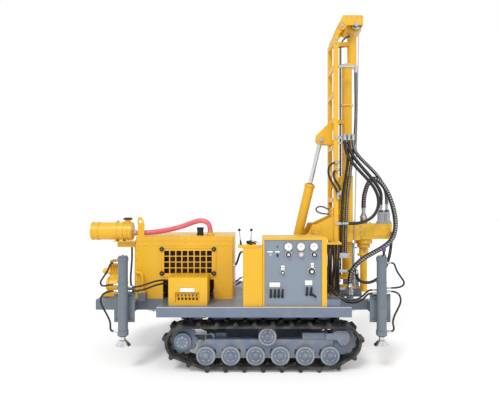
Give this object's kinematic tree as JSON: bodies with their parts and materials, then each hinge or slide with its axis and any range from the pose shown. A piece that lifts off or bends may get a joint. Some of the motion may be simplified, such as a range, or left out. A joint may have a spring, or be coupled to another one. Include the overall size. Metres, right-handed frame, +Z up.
{
  "type": "well drilling rig",
  "caption": "Crawler-mounted well drilling rig: rubber tracks, engine hood, control console, levelling jacks and a folding lattice mast with a rotary head.",
  "frame": {"origin": "on the ground under the middle of the machine's outline", "axes": "+X to the drill end, +Y to the far side from the controls, +Z up"},
  "size_m": [3.7294, 1.771, 4.185],
  "materials": {
    "yellow_paint": "gloss enamel",
    "grey_paint": "satin enamel",
    "dark_paint": "satin enamel",
    "panel_paint": "matt enamel",
    "track_rubber": "worn",
    "black_plastic": "moulded",
    "engine_iron": "painted, dull",
    "bright_steel": "machined",
    "chrome": "polished",
    "hose_rubber": "satin",
    "intake_rubber": "ribbed, satin"
  },
  "bodies": {
    "chassis": {"track_right": "track_rubber", "track_frame_right": "grey_paint", "rollers_right": "grey_paint", "idler_right": "grey_paint", "grille_door_right": "yellow_paint", "track_left": "track_rubber", "track_frame_left": "grey_paint", "rollers_left": "grey_paint", "idler_left": "grey_paint", "grille_door_left": "yellow_paint", "cross_frame": "grey_paint", "deck": "grey_paint", "sprockets": "grey_paint", "chassis_rails": "dark_paint", "outrigger_beams": "dark_paint", "radiator": "dark_paint", "jack_tubes": "dark_paint", "hood": "yellow_paint", "air_cleaner": "yellow_paint", "cleaner_bracket": "yellow_paint", "valve_box": "yellow_paint", "oil_tank": "yellow_paint", "console_cabinet": "yellow_paint", "tail_pump": "yellow_paint", "mast_support": "yellow_paint", "console_brackets": "yellow_paint", "hood_fittings": "black_plastic", "hand_levers": "black_plastic", "console_gauges": "black_plastic", "engine": "engine_iron", "console_panel": "panel_paint", "jack_hoses": "hose_rubber", "console_hoses": "hose_rubber", "intake_hose": "intake_rubber"},
    "mast": {"mast_rail_right": "yellow_paint", "mast_rail_left": "yellow_paint", "feed_chain": "black_plastic", "mast_arms": "yellow_paint", "mast_ties": "yellow_paint", "mast_eye_bracket": "yellow_paint", "mast_crown": "yellow_paint", "crown_sheave": "bright_steel", "feed_cylinder": "yellow_paint", "winch_rope": "bright_steel", "rope_hook": "bright_steel", "mast_hoses": "hose_rubber", "mast_ports": "bright_steel"},
    "head": {"head_carriage": "yellow_paint", "head_gearbox": "yellow_paint", "head_motors": "black_plastic", "head_ports": "bright_steel", "head_hoses": "hose_rubber", "head_hose_ends": "bright_steel"},
    "spindle_body": {"spindle": "bright_steel"},
    "lift_barrel": {"tilt_barrel": "yellow_paint"},
    "lift_rod": {"tilt_rod": "chrome"},
    "jack_tail_right": {"jack_rod_tail_right": "chrome"},
    "jack_tail_left": {"jack_rod_tail_left": "chrome"},
    "jack_drill_right": {"jack_rod_drill_right": "chrome"},
    "jack_drill_left": {"jack_rod_drill_left": "chrome"}
  },
  "joints": [
    {"name": "mast_tilt", "type": "hinge", "parent": "chassis", "child": "mast", "pos_m": [0.85, 0, 1.53], "axis": [0, -1, 0], "range_deg": [0, 90]},
    {"name": "head_feed", "type": "slide", "parent": "mast", "child": "head", "axis": [0, 0, 1], "range_m": [0, 1.8]},
    {"name": "spindle_turn", "type": "hinge", "parent": "head", "child": "spindle_body", "pos_m": [1.497, 0, 1.2], "axis": [0, 0, -1], "continuous": true},
    {"name": "cylinder_swing", "type": "hinge", "parent": "chassis", "child": "lift_barrel", "pos_m": [0.632, 0, 1.35], "axis": [0, -1, 0], "range_deg": [-0.5, 87.16]},
    {"name": "cylinder_stroke", "type": "slide", "parent": "lift_barrel", "child": "lift_rod", "axis": [0.2324, 0, 0.9726], "range_m": [-0.3993, 0.003]},
    {"name": "jack_tail_right_stroke", "type": "slide", "parent": "chassis", "child": "jack_tail_right", "axis": [0, 0, -1], "range_m": [0, 0.45]},
    {"name": "jack_tail_left_stroke", "type": "slide", "parent": "chassis", "child": "jack_tail_left", "axis": [0, 0, -1], "range_m": [0, 0.45]},
    {"name": "jack_drill_right_stroke", "type": "slide", "parent": "chassis", "child": "jack_drill_right", "axis": [0, 0, -1], "range_m": [0, 0.45]},
    {"name": "jack_drill_left_stroke", "type": "slide", "parent": "chassis", "child": "jack_drill_left", "axis": [0, 0, -1], "range_m": [0, 0.45]}
  ],
  "couplings": [
    {"joint": "cylinder_swing", "follows": "mast_tilt", "ratio": 0.96287},
    {"joint": "cylinder_stroke", "follows": "mast_tilt", "m_per_rad": -0.25103}
  ]
}
